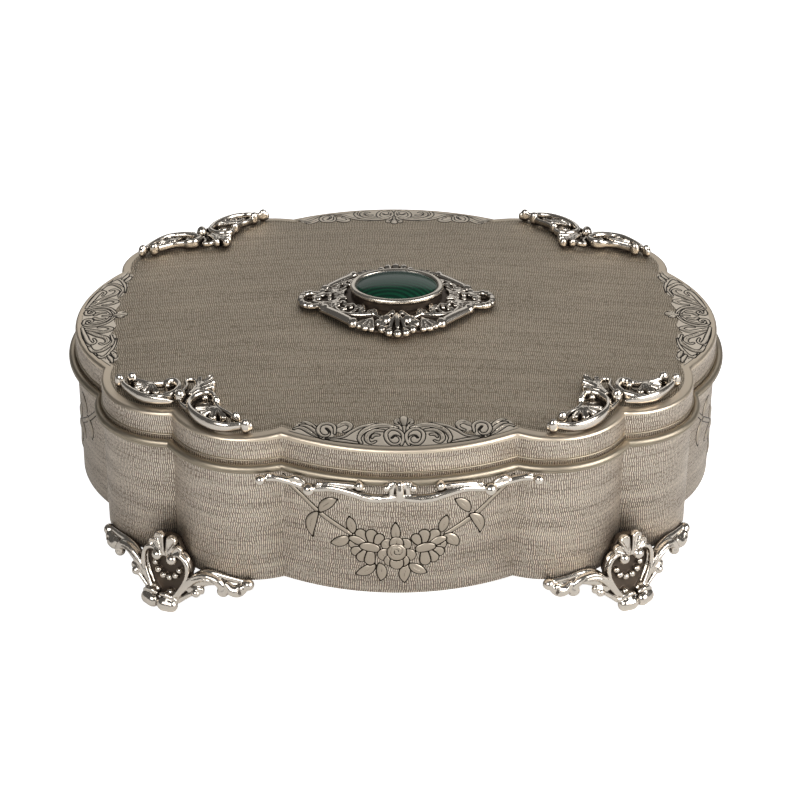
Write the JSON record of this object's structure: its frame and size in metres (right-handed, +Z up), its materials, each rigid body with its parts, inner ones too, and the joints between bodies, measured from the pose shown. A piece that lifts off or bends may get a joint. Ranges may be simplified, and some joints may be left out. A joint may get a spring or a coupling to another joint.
{
  "type": "jewellery casket",
  "caption": "Footed silver jewellery casket with a lobed outline, a hinged domed lid, scroll mounts and an oval malachite cabochon.",
  "frame": {"origin": "on the table, under the centre of the casket's outline", "axes": "+X along the casket to the right, +Y to the back, where the hinge is, +Z up; the thumb piece faces -Y"},
  "size_m": [0.2296, 0.1947, 0.0874],
  "materials": {
    "chased_silver_body": "chased with wavy strokes, oxidised",
    "chased_silver_lid": "chased with fine dashes, oxidised",
    "polished_silver": "polished",
    "cast_silver": "cast, polished high points, dark recesses",
    "plain_silver": "satin",
    "velvet": "velvet",
    "malachite": "polished, banded"
  },
  "bodies": {
    "body": {"body_wall": "chased_silver_body", "bottom_plate": "plain_silver", "rim_moulding": "polished_silver", "locating_collar": "plain_silver", "base_pad": "velvet", "wall_lining": "velvet", "foot_front_left": "cast_silver", "foot_front_right": "cast_silver", "foot_back_left": "cast_silver", "foot_back_right": "cast_silver", "hinge_leaf_body": "plain_silver", "hinge_pin": "plain_silver"},
    "lid": {"lid_band": "chased_silver_body", "lid_top": "chased_silver_lid", "lid_moulding": "polished_silver", "lid_lining": "velvet", "hinge_leaf_lid": "plain_silver", "thumb_piece": "cast_silver", "corner_mount_front_left": "cast_silver", "corner_mount_front_right": "cast_silver", "corner_mount_back_left": "cast_silver", "corner_mount_back_right": "cast_silver", "plaque": "cast_silver", "collet": "polished_silver", "stone_bed": "plain_silver", "cabochon": "malachite"}
  },
  "joints": [
    {"name": "lid_hinge", "type": "hinge", "parent": "body", "child": "lid", "pos_m": [0, 0.09525, 0.06075], "axis": [-1, 0, 0], "range_deg": [0, 100]}
  ]
}
